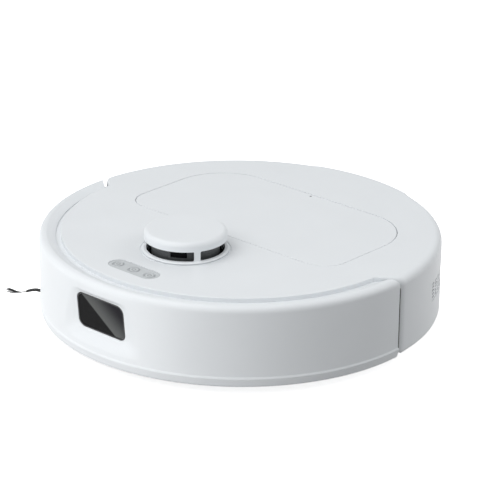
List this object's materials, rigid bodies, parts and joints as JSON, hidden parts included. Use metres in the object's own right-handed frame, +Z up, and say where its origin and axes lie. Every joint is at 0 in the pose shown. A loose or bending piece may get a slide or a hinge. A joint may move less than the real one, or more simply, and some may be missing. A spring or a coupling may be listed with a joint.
{
  "type": "robot vacuum cleaner",
  "caption": "Low round robot vacuum with a laser turret, a sprung front bumper with a dark sensor window, a lift-up lid, sprung drive wheels, a caster, and a main and a side brush.",
  "frame": {"origin": "centre of the body's outline, on the floor that the wheels stand on", "axes": "+Z up, front of the machine faces -Y, its left side is -X seen from above with the front towards the viewer"},
  "size_m": [0.35, 0.35, 0.099],
  "materials": {
    "white_shell": "fine satin moulded white plastic",
    "grey_plastic": "satin mid grey plastic",
    "button_grey": "satin light grey plastic",
    "black_plastic": "satin black plastic",
    "gloss_black": "polished black plastic window",
    "tyre_rubber": "matt black rubber",
    "smoked_clear": "smoked clear plastic",
    "filter_paper": "pleated filter paper",
    "board_green": "green solder mask",
    "cell_wrap": "battery cells in dark blue wrap",
    "steel": "bright steel",
    "contact_nickel": "nickel-plated contact",
    "bristle": "black bristle and rubber vane",
    "latch_orange": "orange latch plastic"
  },
  "bodies": {
    "root": {"base_shell": "white_shell", "top_deck": "white_shell", "bay_tray": "grey_plastic", "dust_bin": "smoked_clear", "bin_cover": "grey_plastic", "bin_filter": "filter_paper", "lidar_base": "grey_plastic", "lidar_cover": "white_shell", "lidar_belt": "tyre_rubber", "lidar_motor": "steel", "button_panel": "button_grey", "main_board": "board_green", "battery_pack": "cell_wrap", "battery_door": "grey_plastic", "brush_chamber": "black_plastic", "brush_gearbox": "grey_plastic", "brush_guard": "grey_plastic", "fan_housing": "black_plastic", "exhaust_grille": "grey_plastic", "speaker": "black_plastic", "front_sensor_module": "black_plastic", "caster_socket": "black_plastic", "wheel_housing_left": "black_plastic", "wheel_housing_right": "black_plastic", "suspension_spring_left": "steel", "suspension_spring_right": "steel", "charge_contact_left": "contact_nickel", "charge_contact_right": "contact_nickel", "cliff_sensor_front_left": "gloss_black", "cliff_sensor_front_right": "gloss_black", "cliff_sensor_side_left": "gloss_black", "cliff_sensor_side_right": "gloss_black", "bumper_switch_left": "black_plastic", "bumper_switch_right": "black_plastic", "side_brush_motor": "grey_plastic", "rear_window": "gloss_black"},
    "bumper": {"bumper": "white_shell", "bumper_window": "gloss_black"},
    "lever_left": {"bumper_lever_left": "grey_plastic"},
    "lever_right": {"bumper_lever_right": "grey_plastic"},
    "lid": {"service_lid": "white_shell"},
    "turret_rotor": {"lidar_rotor": "black_plastic"},
    "turret_pulley": {"lidar_pulley": "grey_plastic"},
    "power_button": {"power_button": "button_grey"},
    "home_button": {"home_button": "button_grey"},
    "spot_button": {"spot_button": "button_grey"},
    "suspension_left": {"suspension_arm_left": "grey_plastic"},
    "suspension_right": {"suspension_arm_right": "grey_plastic"},
    "wheel_left": {"wheel_hub_left": "grey_plastic", "tyre_left": "tyre_rubber"},
    "wheel_right": {"wheel_hub_right": "grey_plastic", "tyre_right": "tyre_rubber"},
    "caster_fork": {"caster_fork": "grey_plastic"},
    "caster_wheel": {"caster_wheel": "tyre_rubber"},
    "main_brush": {"main_brush": "bristle"},
    "side_brush": {"side_brush": "bristle"},
    "impeller": {"fan_impeller": "grey_plastic"},
    "latch_left": {"guard_latch_left": "latch_orange"},
    "latch_right": {"guard_latch_right": "latch_orange"}
  },
  "joints": [
    {"name": "bumper_press", "type": "slide", "parent": "root", "child": "bumper", "axis": [0, 1, 0], "range_m": [0, 0.0035], "stiffness_N_per_m": 300, "springref_m": -0.004},
    {"name": "lever_left_turn", "type": "hinge", "parent": "root", "child": "lever_left", "pos_m": [-0.09789, -0.12529, 0.043], "axis": [0, 0, 1], "range_deg": [-15, 0]},
    {"name": "lever_right_turn", "type": "hinge", "parent": "root", "child": "lever_right", "pos_m": [0.09789, -0.12529, 0.043], "axis": [0, 0, 1], "range_deg": [0, 15]},
    {"name": "lid_hinge", "type": "hinge", "parent": "root", "child": "lid", "pos_m": [0, -0.022, 0.08], "axis": [1, 0, 0], "range_deg": [0, 75]},
    {"name": "turret_spin", "type": "hinge", "parent": "root", "child": "turret_rotor", "pos_m": [0, -0.0685, 0.08], "axis": [0, 0, 1], "continuous": true},
    {"name": "pulley_spin", "type": "hinge", "parent": "root", "child": "turret_pulley", "pos_m": [0.042, -0.08, 0.07], "axis": [0, 0, 1], "continuous": true},
    {"name": "power_press", "type": "slide", "parent": "root", "child": "power_button", "axis": [0, 0, 1], "range_m": [-0.0008, 0], "stiffness_N_per_m": 400, "springref_m": 0.0004},
    {"name": "home_press", "type": "slide", "parent": "root", "child": "home_button", "axis": [0, 0, 1], "range_m": [-0.0008, 0], "stiffness_N_per_m": 400, "springref_m": 0.0004},
    {"name": "spot_press", "type": "slide", "parent": "root", "child": "spot_button", "axis": [0, 0, 1], "range_m": [-0.0008, 0], "stiffness_N_per_m": 400, "springref_m": 0.0004},
    {"name": "suspension_left_drop", "type": "hinge", "parent": "root", "child": "suspension_left", "pos_m": [-0.1105, -0.034, 0.046], "axis": [1, 0, 0], "range_deg": [-26, 0], "stiffness_Nm_per_rad": 0.15, "springref_deg": -45.84},
    {"name": "suspension_right_drop", "type": "hinge", "parent": "root", "child": "suspension_right", "pos_m": [0.1105, -0.034, 0.046], "axis": [1, 0, 0], "range_deg": [-26, 0], "stiffness_Nm_per_rad": 0.15, "springref_deg": -45.84},
    {"name": "wheel_left_roll", "type": "hinge", "parent": "suspension_left", "child": "wheel_left", "pos_m": [-0.1105, 0.004, 0.034], "axis": [1, 0, 0], "continuous": true},
    {"name": "wheel_right_roll", "type": "hinge", "parent": "suspension_right", "child": "wheel_right", "pos_m": [0.1105, 0.004, 0.034], "axis": [1, 0, 0], "continuous": true},
    {"name": "caster_swivel", "type": "hinge", "parent": "root", "child": "caster_fork", "pos_m": [0, -0.122, 0.03], "axis": [0, 0, 1], "continuous": true},
    {"name": "caster_roll", "type": "hinge", "parent": "caster_fork", "child": "caster_wheel", "pos_m": [0, -0.117, 0.0135], "axis": [1, 0, 0], "continuous": true},
    {"name": "main_brush_spin", "type": "hinge", "parent": "root", "child": "main_brush", "pos_m": [0, -0.016, 0.0225], "axis": [1, 0, 0], "continuous": true},
    {"name": "side_brush_spin", "type": "hinge", "parent": "root", "child": "side_brush", "pos_m": [-0.098, -0.097, 0.008], "axis": [0, 0, 1], "continuous": true},
    {"name": "fan_spin", "type": "hinge", "parent": "root", "child": "impeller", "pos_m": [0.06, 0.127, 0.0325], "axis": [0, 0, 1], "continuous": true},
    {"name": "latch_left_slide", "type": "slide", "parent": "root", "child": "latch_left", "axis": [0, 1, 0], "range_m": [0, 0.0018], "stiffness_N_per_m": 200, "springref_m": -0.001},
    {"name": "latch_right_slide", "type": "slide", "parent": "root", "child": "latch_right", "axis": [0, 1, 0], "range_m": [0, 0.0018], "stiffness_N_per_m": 200, "springref_m": -0.001}
  ],
  "couplings": [
    {"joint": "lever_left_turn", "follows": "bumper_press", "rad_per_m": -71.4},
    {"joint": "lever_right_turn", "follows": "bumper_press", "rad_per_m": 71.4},
    {"joint": "pulley_spin", "follows": "turret_spin", "ratio": 6.5}
  ]
}
